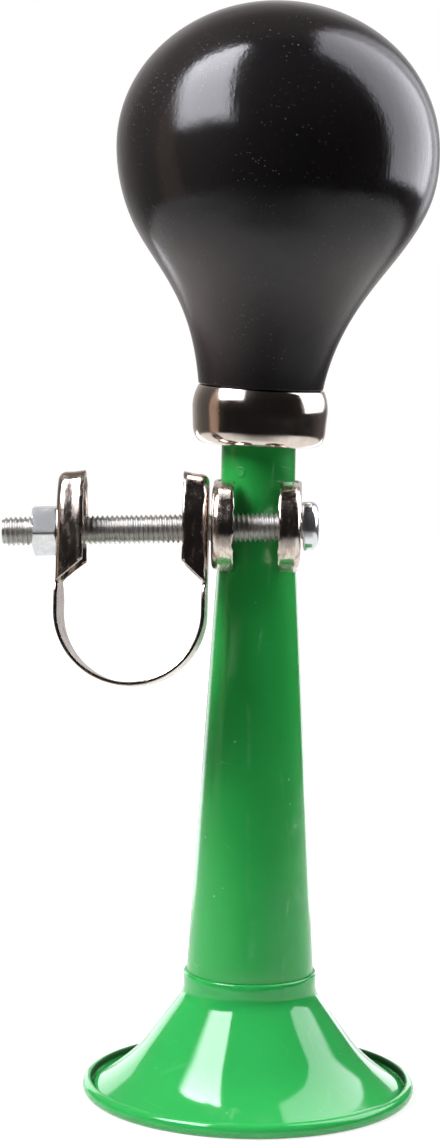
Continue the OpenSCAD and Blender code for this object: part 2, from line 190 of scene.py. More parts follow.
def dust_group():
    """Fine specks that settle on the surface."""
    g, given = new_group("Dust", "ShaderNodeTree", FLOAT, Vector=VECTOR, Scale=900.0, Amount=0.2, Size=0.2)
    cells = g.add("ShaderNodeTexVoronoi", {"Vector": given["Vector"], "Scale": given["Scale"]}).node.outputs
    draws = g.add("ShaderNodeSeparateColor", {"Color": cells["Color"]}).node.outputs
    present = g.math("LESS_THAN", draws[0], given["Amount"])
    radius = g.times(given["Size"], g.plus(0.35, draws[1]))
    speck = g.ramp(g.over(cells["Distance"], radius), 0.6, 1.0, 1.0, 0.0)
    return g.end("NodeGroupOutput", g.times(present, speck))


def scratch_group():
    """Fine hairline scratches that run mostly one way."""
    g, given = new_group("Scratches", "ShaderNodeTree", FLOAT, Vector=VECTOR, Scale=60.0,
        Direction=(1.0, 1.0, 12.0), Amount=0.5)
    sway = g.add("ShaderNodeVectorMath", {0: g.noise(given["Vector"], 45.0, 1.0, out=1), "Scale": 0.004},
        operation="SCALE")
    stretched = g.vector("MULTIPLY", g.vector("ADD", given["Vector"], sway), given["Direction"])
    edges = g.add("ShaderNodeTexVoronoi", {"Vector": stretched, "Scale": given["Scale"]}, "Distance",
        feature="DISTANCE_TO_EDGE")
    thin = g.ramp(edges, 0.0, 0.012, 1.0, 0.0)
    patches = g.ramp(g.noise(given["Vector"], 160.0, 3.0), g.minus(0.75, given["Amount"]), 0.85)
    return g.end("NodeGroupOutput", g.times(thin, patches))


def mottle_group():
    """Soft cloudy change over the surface, in broad patches with finer ones inside."""
    g, given = new_group("Mottle", "ShaderNodeTree", FLOAT, Vector=VECTOR, Scale=100.0, Contrast=1.0)
    broad = g.noise(given["Vector"], given["Scale"], 4.0, 0.55, 0.4)
    centred = g.times(g.minus(broad, 0.5), given["Contrast"])
    return g.end("NodeGroupOutput", g.math("ADD", centred, 0.5, clamp=True))


def relief_group():
    """Heights of a surface that isn't quite smooth: broad waves, and a fine grain or orange peel."""
    g, given = new_group("Relief", "ShaderNodeTree", FLOAT, Vector=VECTOR, Wave_scale=40.0, Wave=1.0,
        Grain_scale=1500.0, Grain=0.1)
    waves = g.times(g.noise(given["Vector"], given["Wave scale"], 1.0, 0.4), given["Wave"])
    grain = g.times(g.noise(given["Vector"], given["Grain scale"], 2.0, 0.6), given["Grain"])
    return g.end("NodeGroupOutput", g.plus(waves, grain))


DUST, SCRATCHES, MOTTLE, RELIEF = dust_group(), scratch_group(), mottle_group(), relief_group()


class Finish:
    """One material, with the Principled shader in it and the effects that feed it. Places are in metres."""

    def __init__(self, name, **sockets):
        self.material = bpy.data.materials.new(name)
        self.graph = emptied(self.material)
        self.shader = self.graph.add("ShaderNodeBsdfPrincipled", sockets).node
        self.graph.end("ShaderNodeOutputMaterial", self.shader.outputs[0])
        self.place = self.graph.add("ShaderNodeTexCoord", out="Object")
        self.x, _, self.z = self.graph.parts(self.place)

    def effect(self, group, **inputs):
        named = {key.replace("_", " "): value for key, value in inputs.items()}
        return self.graph.add("ShaderNodeGroup", {"Vector": self.place, **named}, node_tree=group)

    def drawn_out(self, share):
        return self.graph.vector("MULTIPLY", self.place, (1.0, 1.0, share))

    def feed(self, socket, value):
        self.graph.tree.links.new(value, self.shader.inputs[socket])

    def bump(self, height, distance, strength=1.0, under=None):
        inputs = {"Strength": strength, "Distance": distance, "Height": height}
        if under is not None:
            inputs["Normal"] = under
        return self.graph.add("ShaderNodeBump", inputs)


# Finishes

# Radii past every piece, so that a finish gets no painted groove shade
PAST_ALL, NO_GROOVE_SHADE = 1.0, (0.5, 0.6)


def rubber_finish():
    """Satin black rubber. Its lower half is painted paler, partly as dust and partly as a painted reflection
    of the white table, most of all at the sides as a painted sheen, with dust and fine vertical strokes all
    over. Its roughness stays under the limit where the denoiser would draw a line."""
    f = Finish("Bulb rubber", IOR=1.5)
    g = f.graph
    # Paler towards the bottom: partly dust and partly a painted reflection of the white table below
    low = g.times(g.ramp(f.z, 0.138, 0.151, 1.0, 0.0), g.ramp(f.z, 0.120, 0.138, 0.14, 1.0))
    off_middle = g.math("ABSOLUTE", g.minus(f.x, 0.003))
    # Painted sheen: the pale wash grows towards the bulb's left and right sides
    sides = g.ramp(off_middle, 0.002, 0.015, 0.08, 0.62)
    cloud = g.plus(sides, g.times(f.effect(MOTTLE, Scale=55.0, Contrast=1.15), 0.6))
    pale_wash_and_sheen = g.times(g.plus(g.times(low, 0.88), 0.12), cloud)
    body = g.mix(pale_wash_and_sheen, (0.0035, 0.0035, 0.004, 1), (0.070, 0.0565, 0.0545, 1))
    f.feed("Specular IOR Level", g.ramp(f.z, 0.122, 0.142, 0.16, 0.31))
    specks = f.effect(DUST, Scale=1100.0, Amount=0.12, Size=0.13)
    fine = f.effect(DUST, Scale=2200.0, Amount=0.30, Size=0.22)
    dusty = g.math("MAXIMUM", specks, g.times(fine, 0.7))
    gathered = g.times(dusty, g.ramp(g.noise(f.place, 80.0, 3.0), 0.42, 0.64, 0.08, 0.6))
    f.feed("Base Color", g.mix(gathered, body, (0.22, 0.20, 0.19, 1)))
    smear = g.ramp(f.effect(MOTTLE, Scale=140.0, Contrast=1.1), 0.15, 0.85, 0.12, 0.175, "LINEAR")
    f.feed("Roughness", g.plus(smear, g.ramp(f.z, 0.132, 0.149, 0.09, 0.0)))
    strokes = f.bump(g.noise(f.drawn_out(0.08), 1500.0, 3.0, 0.6), 0.00002, 1.0)
    shape = f.effect(RELIEF, Wave_scale=80.0, Wave=1.0, Grain_scale=600.0, Grain=0.07)
    f.feed("Normal", f.bump(shape, 0.00035, 1.0, strokes))
    return f.material


def nickel_finish(name, dull, wave, spots, worn_share):
    """Bright nickel plate over pressed steel, with soft waves, dull patches, fine drawn streaks and pits.
    Spots is the share of places with a rust spot, and the worn share is how much tarnish there is."""
    f = Finish(name, Metallic=1.0)
    g = f.graph
    cloud = f.effect(MOTTLE, Scale=220.0, Contrast=1.4)
    tarnish = g.times(g.ramp(g.noise(f.drawn_out(0.3), 900.0, 4.0, 0.6), 0.42, 0.72), worn_share)
    clean = g.mix(cloud, (0.71, 0.63, 0.56, 1), (0.60, 0.52, 0.455, 1))
    plate = g.mix(tarnish, clean, (0.36, 0.28, 0.24, 1))
    pits = f.effect(DUST, Scale=2600.0, Amount=0.16, Size=0.24)
    rust = f.effect(DUST, Scale=600.0, Amount=spots, Size=0.14)
    pitted = g.mix(g.times(pits, 0.35), plate, (0.24, 0.20, 0.18, 1))
    f.feed("Base Color", g.mix(g.times(rust, 0.75), pitted, (0.24, 0.075, 0.045, 1)))
    gloss = g.ramp(cloud, 0.2, 0.9, dull, 1.7 * dull, "LINEAR")
    worn = g.plus(gloss, g.times(pits, 0.12))
    f.feed("Roughness", g.plus(worn, g.times(tarnish, 0.22)))
    streaks = g.noise(f.drawn_out(0.12), 2600.0, 2.0)
    shape = f.effect(RELIEF, Wave_scale=160.0, Wave=wave, Grain_scale=1500.0, Grain=0.05)
    f.feed("Normal", f.bump(shape, 0.00012, 1.0, f.bump(streaks, 0.00003, worn_share)))
    return f.material


def zinc_finish(name, dull, light, dark, bright_from=PAST_ALL):
    """Zinc plate, greyer and more speckled than nickel. It is brighter and smoother past a place along X."""
    f = Finish(name, Metallic=0.85)
    g = f.graph
    cloud = f.effect(MOTTLE, Scale=900.0, Contrast=2.0)
    broad = f.effect(MOTTLE, Scale=260.0, Contrast=1.5)
    plate = g.mix(cloud, light, dark)
    bright = g.ramp(f.x, bright_from, bright_from + 0.0006)
    warm = g.mix(g.times(broad, 0.45), plate, (0.60, 0.575, 0.53, 1))
    f.feed("Base Color", g.mix(bright, warm, (0.72, 0.73, 0.76, 1)))
    rough = g.ramp(cloud, 0.0, 1.0, dull, dull + 0.08, "LINEAR")
    f.feed("Roughness", g.minus(rough, g.times(bright, 0.18)))
    shape = f.effect(RELIEF, Wave_scale=500.0, Wave=0.6, Grain_scale=2600.0, Grain=0.5)
    f.feed("Normal", f.bump(shape, 0.00002, 0.6))
    return f.material


def green_finish(name, deep, light, gloss, wave, painted_light_below, groove):
    """Moulded green plastic with faint flow clouds, hairline scratches and dust. Its lower part is painted
    paler by a share, as painted light from the table below, and a groove between two radii is painted dark,
    as painted shade, and made rough."""
    f = Finish(name, IOR=1.5)
    g = f.graph
    cloud = f.effect(MOTTLE, Scale=60.0, Contrast=1.3)
    body = g.mix(cloud, deep, light)
    # Painted light: the lower part is painted paler by the given share, as light thrown up from the table
    body = g.mix(g.ramp(f.z, 0.022, 0.062, painted_light_below, 0.0), body, (0.060, 0.70, 0.17, 1))
    lines = f.effect(SCRATCHES, Scale=38.0, Direction=(1.0, 1.0, 0.12), Amount=0.30)
    scuffs = f.effect(SCRATCHES, Scale=90.0, Direction=(1.0, 1.0, 3.0), Amount=0.22)
    specks = f.effect(DUST, Scale=650.0, Amount=0.06, Size=0.16)
    marks = g.math("MAXIMUM", g.times(g.math("MAXIMUM", lines, scuffs), 0.30), g.times(specks, 0.35))
    out = g.vector("LENGTH", f.drawn_out(0.0), out=1)
    # Painted shade: the groove between the two radii, low on the piece, is painted nearly black and made
    # rougher
    groove_shade = g.times(g.times(g.ramp(out, groove[0], groove[0] + 0.0002),
        g.ramp(out, groove[1], groove[1] + 0.0001, 1.0, 0.0)), g.ramp(f.z, 0.0011, 0.0015))
    worn = g.mix(marks, body, (0.30, 0.62, 0.38, 1))
    f.feed("Base Color", g.mix(g.times(groove_shade, 0.93), worn, (0.002, 0.012, 0.004, 1)))
    smooth = g.ramp(f.effect(MOTTLE, Scale=130.0, Contrast=1.5), 0.0, 1.0, gloss, gloss + 0.06, "LINEAR")
    f.feed("Roughness", g.plus(smooth, g.times(g.math("MAXIMUM", marks, groove_shade), 0.5)))
    shape = f.effect(RELIEF, Wave_scale=90.0, Wave=wave, Grain_scale=1300.0, Grain=0.015)
    f.feed("Normal", f.bump(scuffs, 0.00003, 0.4, f.bump(shape, 0.0003)))
    return f.material


def brass_finish():
    """Tarnished brass of the hidden reed."""
    f = Finish("Reed brass", Metallic=1.0)
    g = f.graph
    cloud = f.effect(MOTTLE, Scale=400.0, Contrast=1.8)
    f.feed("Base Color", g.mix(cloud, (0.80, 0.58, 0.24, 1), (0.48, 0.31, 0.12, 1)))
    lines = f.effect(SCRATCHES, Scale=120.0, Direction=(1.0, 1.0, 8.0), Amount=0.6)
    f.feed("Roughness", g.plus(g.ramp(cloud, 0.0, 1.0, 0.18, 0.34, "LINEAR"), g.times(lines, 0.2)))
    f.feed("Normal", f.bump(lines, 0.00003, 0.5))
    return f.material


def sleeve_finish():
    """Dull black rubber of the hidden sleeve."""
    f = Finish("Sleeve rubber", IOR=1.5)
    g = f.graph
    cloud = f.effect(MOTTLE, Scale=300.0, Contrast=1.6)
    f.feed("Base Color", g.mix(cloud, (0.010, 0.010, 0.011, 1), (0.035, 0.032, 0.030, 1)))
    f.feed("Roughness", g.ramp(cloud, 0.0, 1.0, 0.45, 0.65, "LINEAR"))
    f.feed("Normal", f.bump(f.effect(RELIEF, Wave=0.1, Grain_scale=2500.0, Grain=0.3), 0.0001))
    return f.material


# Outlines of the turned pieces, as (radius, height) in mm

def curve(start, mid, end, steps):
    """A curve from the start to the end that is pulled towards the middle point."""
    shares = [i / steps for i in range(steps + 1)]
    return [start * (1 - t) ** 2 + mid * (2 * t * (1 - t)) + end * t * t for t in shares]


def bend(start, along, end, steps=12):
    """A curve that leaves the start along a direction and turns evenly to the end."""
    chord = end - start
    return curve(start, start + along * (chord.dot(chord) / (2 * chord.dot(along))), end, steps)


def bend_end(start, along, end):
    """The direction in which such a curve arrives."""
    chord = (end - start).normalized()
    return 2 * chord.dot(along) * chord - along


def right_of(along):
    return Vector((along.y, -along.x))


def arc(centre, radius, first, last, steps=8):
    turns = [math.radians(first + (last - first) * i / steps) for i in range(steps + 1)]
    return [Vector(centre) + radius * Vector((math.cos(t), math.sin(t))) for t in turns]


def rounded(points, radius, steps=3):
    """The closed outline with each corner sharper than about 25 degrees cut round."""
    blunt = 0.44
    result = []
    count = len(points)
    for i, corner in enumerate(points):
        back, ahead = points[i - 1] - corner, points[(i + 1) % count] - corner
        turn = math.pi - back.angle(ahead)
        if turn < blunt:
            result.append(corner)
            continue
        reach = min(radius, 0.45 * back.length, 0.45 * ahead.length)
        first, last = corner + back.normalized() * reach, corner + ahead.normalized() * reach
        result += curve(first, corner, last, steps)
    return result


def spaced(points, longest):
    """The same outline with no step longer than given, so that a curve round the axis is evenly shaded."""
    result = [points[0]]
    for a, b in zip(points, points[1:]):
        parts = max(1, math.ceil((b - a).length / longest))
        result += [a.lerp(b, k / parts) for k in range(1, parts + 1)]
    return result


def flank(top, foot, steps=40):
    """The bulb's side, full under its widest place and slim over the ferrule."""
    below, above = top - Vector((0, BULB_FULL)), foot + Vector(BULB_SLIM)
    points = []
    for i in range(steps + 1):
        t = i / steps
        s = 1 - t
        points.append(top * s ** 3 + below * (3 * s * s * t) + above * (3 * s * t * t) + foot * t ** 3)
    return points


def crown(radius, height, steps=28):
    """The bulb's upper half, from its top down to its widest place."""
    turns = [math.pi / 2 * (1 - i / steps) for i in range(steps + 1)]
    return [Vector((radius * math.cos(t) if i else 0.0, BULB_MID_Z + height * math.sin(t)))
            for i, t in enumerate(turns)]


def bulb_outline():
    bead_r = FERRULE_FOOT_R - FERRULE_T - 0.3
    neck_top = FERRULE_TOP_Z - 0.3
    widest, foot = Vector((BULB_R, BULB_MID_Z)), Vector((BULB_FOOT_R, BULB_FOOT_Z))
    outside = crown(BULB_R, CROWN_H)[:-1] + flank(widest, foot)[:-1]
    rounded_foot = [foot + Vector(p) for p in ((0.02, 0.12), (0, 0), (-0.05, -0.08), (-0.35, -0.2))]
    neck = rounded_foot + [Vector(p) for p in ((NECK_R, BULB_FOOT_Z - 0.25), (NECK_R, neck_top),
        (bead_r, neck_top - SHOULDER_H), (bead_r, NECK_Z + 0.3), (bead_r - 0.3, NECK_Z),
        (NECK_BORE_R + 0.3, NECK_Z), (NECK_BORE_R, NECK_Z + 0.3))]
    inner_r = BULB_R - BULB_WALL
    inside = flank(Vector((inner_r, BULB_MID_Z)), Vector((NECK_BORE_R, BULB_FOOT_Z)), 24)[::-1]
    inside += crown(inner_r, CROWN_H - BULB_WALL, 16)[::-1][1:]
    return outside + neck + inside


def ferrule_outline():
    """A cup with a round shoulder at its mouth and a lower corner that sags under its floor."""
    corner = Vector((FERRULE_FOOT_R - CORNER_W, FERRULE_Z - FERRULE_SAG + CORNER_H))
    side_z, up = FERRULE_TOP_Z - SHOULDER_H, Vector((0, 1))
    floor_r, floor_top_z, lip_round = THROAT_R + 0.05, FERRULE_Z + FERRULE_T, 0.12

    def foot_corner(inset):
        w, h = CORNER_W - inset, CORNER_H - inset
        return [corner + Vector((p.x * w, p.y * h)) for p in arc((0, 0), 1, -90, 0, 12)]

    def shoulder(inset):
        mouth = Vector((FERRULE_MOUTH_R - inset, FERRULE_TOP_Z - lip_round))
        return bend(Vector((FERRULE_R - inset, side_z)), up, mouth)

    outside = foot_corner(0) + shoulder(0)
    lip = [Vector((FERRULE_MOUTH_R - lip_round, FERRULE_TOP_Z)),
        Vector((FERRULE_MOUTH_R - FERRULE_T + lip_round, FERRULE_TOP_Z))]
    inside = shoulder(FERRULE_T)[::-1] + foot_corner(FERRULE_T)[::-1]
    inside.append(Vector((FERRULE_FLOOR_R, floor_top_z)))
    bottom = [Vector((floor_r, floor_top_z)), Vector((floor_r, FERRULE_Z + 0.08)),
        Vector((floor_r + 0.08, FERRULE_Z)), Vector((FERRULE_FLOOR_R, FERRULE_Z))]
    return closed(bottom + outside + lip + inside)


def tube_outline():
    """The spigot, the cone, the straight throat with its collar, and the bore that widens in the cone."""
    points = [Vector(p) for p in ((SPIGOT_BORE_R, SPIGOT_END_Z), (SPIGOT_R, SPIGOT_END_Z),
        (SPIGOT_R, SLEEVE_TOP_Z), (TUBE_R, SLEEVE_TOP_Z), (THROAT_R, TAPER_TOP_Z), (THROAT_R, COLLAR_Z),
        (COLLAR_R, COLLAR_Z), (COLLAR_R, COLLAR_TOP_Z), (TUBE_MOUTH_R, COLLAR_TOP_Z),
        (TUBE_MOUTH_R, TUBE_MOUTH_Z), (BORE_R, TUBE_MOUTH_Z), (BORE_R, TAPER_TOP_Z))]
    return closed(rounded(points, 0.12))


def bell_outline():
    """The sleeve, the flare with its bend, the groove and rolled bead at the rim, and the ledge inside."""
    slope = math.radians(FLARE_ANGLE)
    along = Vector((math.sin(slope), -math.cos(slope)))
    start = Vector((SLEEVE_R, FLARE_TOP_Z))
    bend_start = start + along * ((FLARE_TOP_Z - FLARE_BEND_Z) / math.cos(slope))
    edge = Vector((RIM_R - 2 * BEAD_R, FLARE_EDGE_Z))
    bead = Vector((RIM_R - BEAD_R, BEAD_Z))
    stop_z = SPIGOT_END_Z - 0.05
    wall = right_of(along) * BELL_WALL
    wall_end = right_of(bend_end(bend_start, along, edge)) * BELL_WALL
    flare = bend(bend_start, along, edge + Vector((0.1, 0.1)), 20)
    fillet = 1.3
    outside = bend(start + Vector((0, fillet)), Vector((0, -1)), start + along * fillet, 8) + flare
    groove = [Vector(p) for p in ((26.5, 1.22), (26.95, 0.95), (27.0, 1.05), (26.97, 1.4), (26.92, 1.8),
        (26.88, 2.15), (26.93, 2.36), (27.05, 2.46))]
    rim = [Vector((p.x, max(p.y, 0.0))) for p in groove + arc(bead, BEAD_R, 86, -178, 26)]
    inside = bend(bend_start + wall, along, edge + wall_end + Vector((-0.3, 0.1)), 16)[::-1]
    ledge_foot = start + wall + along * ((start + wall).y - (stop_z - 2.0)) / math.cos(slope)
    bore_r = SPIGOT_R + 0.05
    ledge = [Vector((SPIGOT_BORE_R, stop_z - 1.0)), Vector((SPIGOT_BORE_R, stop_z)), Vector((bore_r, stop_z))]
    mouth = [Vector(p) for p in ((bore_r, SLEEVE_TOP_Z - 0.1), (bore_r + 0.1, SLEEVE_TOP_Z),
        (SLEEVE_R - 0.3, SLEEVE_TOP_Z), (SLEEVE_R - 0.09, SLEEVE_TOP_Z - 0.09),
        (SLEEVE_R, SLEEVE_TOP_Z - 0.3))]
    return closed(mouth + outside + rim + inside + [ledge_foot] + ledge)


def closed(points):
    return points + [points[0].copy()]


# Pieces

def turned_tree():
    """Turns an outline in X and Z once round Z. The piece may lean towards X on its way up, be a little
    uneven, and sit askew: outside the straight core it slopes down towards X, from the tilt's foot up."""
    g, given = new_group("Turned piece", "GeometryNodeTree", GEOMETRY, Outline=GEOMETRY, Segments=128,
        Lean=0.0, Lean_from=0.0, Lean_to=1.0, Lean_back=0.0, Lean_end=1.1, Unevenness=0.0, Patch_size=0.02,
        Tilt=0.0, Tilt_rise=0.001, Tilt_foot=0.1115, Finish=MATERIAL)
    core, skin, fade_z, straight_z = 0.0074, 0.0090, 0.124, 0.150
    count = g.add("GeometryNodeAttributeDomainSize", {"Geometry": given["Outline"]}, component="MESH")
    round_count = g.plus(given["Segments"], 1.0)
    grid = g.add("GeometryNodeMeshGrid", {"Vertices X": count, "Vertices Y": round_count})
    index = g.add("GeometryNodeInputIndex")
    row = g.math("FLOOR", g.over(g.plus(index, 0.5), round_count))
    column = g.minus(index, g.times(row, round_count))
    radius, _, height = g.parts(g.add("GeometryNodeSampleIndex", {"Geometry": given["Outline"],
        "Value": g.add("GeometryNodeInputPosition"), "Index": row}, data_type="FLOAT_VECTOR"))
    wrapped = g.math("MODULO", column, given["Segments"])
    turn = g.times(g.over(wrapped, given["Segments"]), 2 * math.pi)
    x = g.times(g.math("SINE", turn), radius)
    y = g.times(g.math("COSINE", turn), radius)
    patches = g.noise(g.point(x, y, height), g.over(1.0, given["Patch size"]), 1.0, 0.4)
    swell = g.plus(1.0, g.over(g.times(g.minus(patches, 0.5), given["Unevenness"]), 0.01))
    lean = g.times(given["Lean"], g.ramp(height, given["Lean from"], given["Lean to"]))
    back = g.times(given["Lean back"], g.ramp(height, given["Lean to"], given["Lean end"]))
    outer = g.ramp(radius, core, skin)
    begun = g.ramp(height, g.minus(given["Tilt foot"], given["Tilt rise"]), given["Tilt foot"])
    ended = g.ramp(height, fade_z, straight_z, 1.0, 0.0)
    tilt = g.times(given["Tilt"], g.times(outer, g.times(begun, ended)))
    moved = g.point(g.plus(g.times(x, swell), g.minus(lean, back)), g.times(y, swell),
        g.minus(height, g.times(x, tilt)))
    shaped = g.add("GeometryNodeSetPosition", {"Geometry": grid, "Position": moved})
    merged = g.add("GeometryNodeMergeByDistance", {"Geometry": shaped, "Distance": 2e-6})
    return g.end("NodeGroupOutput", g.surface(merged, given["Finish"]))


def thread_tree():
    """A threaded rod along Z, centred on the origin, with its thread tapering away at the lower end."""
    g, given = new_group("Threaded rod", "GeometryNodeTree", GEOMETRY, Geometry=GEOMETRY, Length=0.05,
        Radius=0.0024, Depth=0.0004, Pitch=0.0008, Finish=MATERIAL)
    sides, rows_a_turn, lead_in = 40, 10.0, 0.0008
    rows = g.times(g.over(given["Length"], given["Pitch"]), rows_a_turn)
    rod = g.add("GeometryNodeMeshCylinder", {"Vertices": sides, "Side Segments": rows, "Fill Segments": 2,
        "Radius": given["Radius"], "Depth": given["Length"]})
    x, y, z = g.parts(g.add("GeometryNodeInputPosition"))
    turn = g.over(g.math("ARCTAN2", y, x), 2 * math.pi)
    phase = g.minus(g.over(z, given["Pitch"]), turn)
    ridge = g.times(g.math("PINGPONG", phase, 0.5), 2.0)
    shaped = g.ramp(ridge, 0.12, 0.86, 1.0, 0.0, "LINEAR")
    from_end = g.plus(z, g.times(given["Length"], 0.5))
    lead = g.ramp(from_end, 0.0, lead_in, 0.0, 1.0, "LINEAR")
    rise = g.times(shaped, lead)
    lost = g.times(given["Depth"], g.minus(1.0, rise))
    narrow = g.over(g.minus(given["Radius"], lost), given["Radius"])
    moved = g.point(g.times(x, narrow), g.times(y, narrow), z)
    placed = g.add("GeometryNodeSetPosition", {"Geometry": rod, "Position": moved})
    return g.end("NodeGroupOutput", g.surface(placed, given["Finish"]))


def linked(name, data):
    made = bpy.data.objects.new(name, data)
    bpy.context.scene.collection.objects.link(made)
    return made


def new_piece(name, points, faces, finish, edges=()):
    """A mesh from points in millimetres."""
    mesh = bpy.data.meshes.new(name)
    mesh.from_pydata([tuple(c * MM for c in p) for p in points], edges, faces)
    mesh.materials.append(finish)
    return linked(name, mesh)


def baked(piece):
    """The piece with its modifiers worked into one plain mesh."""
    ready = piece.evaluated_get(bpy.context.evaluated_depsgraph_get())
    mesh = bpy.data.meshes.new_from_object(ready)
    piece.modifiers.clear()
    piece.data = mesh
    mesh.name = piece.name
    return piece


def reshaped(piece, change):
    """The piece after a function has changed its mesh."""
    shape = bmesh.new()
    shape.from_mesh(piece.data)
    change(shape)
    shape.to_mesh(piece.data)
    shape.free()
    return piece


def faced_out(piece):
    """Turns a closed mesh's faces outwards, told by the sign of its volume."""
    def turn_out(shape):
        if shape.calc_volume(signed=True) < 0:
            bmesh.ops.reverse_faces(shape, faces=shape.faces)

    return reshaped(piece, turn_out)


def smoothed(piece):
    piece.data.polygons.foreach_set("use_smooth", [True] * len(piece.data.polygons))
    return piece


def band(a, b):
    """Faces between two rings of equally many points."""
    count = len(a)
    return [(a[k], a[(k + 1) % count], b[(k + 1) % count], b[k]) for k in range(count)]


def sheet(rows, columns):
    """Faces of a grid of points that are listed row by row."""
    starts = [j * columns + i for j in range(rows - 1) for i in range(columns - 1)]
    return [(k, k + 1, k + columns + 1, k + columns) for k in starts]


def grown(piece, tree, **inputs):
    """Runs a geometry tree on the piece, with its inputs by name, and bakes the result."""
    grow = piece.modifiers.new("Grow", "NODES")
    grow.node_group = tree
    names = {item.name: item.identifier for item in tree.interface.items_tree if item.in_out == "INPUT"}
    for key, value in inputs.items():
        grow[names[key.replace("_", " ")]] = value
    return faced_out(baked(piece))


def turned(name, outline, finish, segments, longest, **inputs):
    """A piece turned from its outline, in steps of the longest length at most."""
    points = spaced(outline, longest)
    piece = new_piece(name, [(p.x, 0.0, p.y) for p in points], [], finish,
        [(i, i + 1) for i in range(len(points) - 1)])
    return grown(piece, TURNED, Segments=segments, Finish=finish, **inputs)


def joined(name, finish, *pieces):
    """One mesh from several closed shells."""
    shape = bmesh.new()
    for piece in pieces:
        shape.from_mesh(piece.data)
    mesh = bpy.data.meshes.new(name)
    shape.to_mesh(mesh)
    shape.free()
    mesh.materials.append(finish)
    mesh.polygons.foreach_set("material_index", [0] * len(mesh.polygons))
    for piece in pieces:
        bpy.data.objects.remove(piece)
    return smoothed(linked(name, mesh))


def gate_mark(finish):
    """The small raised ring where the moulding was cut from its runner."""
    steps = 40
    profile = [(0.0, 0.02), (0.30, 0.02), (0.48, 0.03), (0.60, 0.07), (0.74, 0.09), (0.86, 0.06),
        (0.98, -0.01), (0.98, -0.3)]
    points, faces = [], []
    for radius, proud in profile:
        for k in range(steps):
            a = 2 * math.pi * k / steps
            swing = math.radians(GATE_TURN) + radius * math.cos(a) / THROAT_R
            out, up = THROAT_R + proud, radius * math.sin(a)
            points.append((out * math.sin(swing), -out * math.cos(swing), CLAMP_Z + GATE_RISE + up))
    rings = [range(r * steps, (r + 1) * steps) for r in range(len(profile))]
    for a, b in zip(rings, rings[1:]):
        faces += band(a, b)
    faces.append(list(rings[-1]))

    def close_middle(shape):
        bmesh.ops.remove_doubles(shape, verts=shape.verts, dist=1e-6)
        bmesh.ops.recalc_face_normals(shape, faces=shape.faces)

    return faced_out(reshaped(new_piece("Gate_mark", points, faces, finish), close_middle))


# Pressed straps

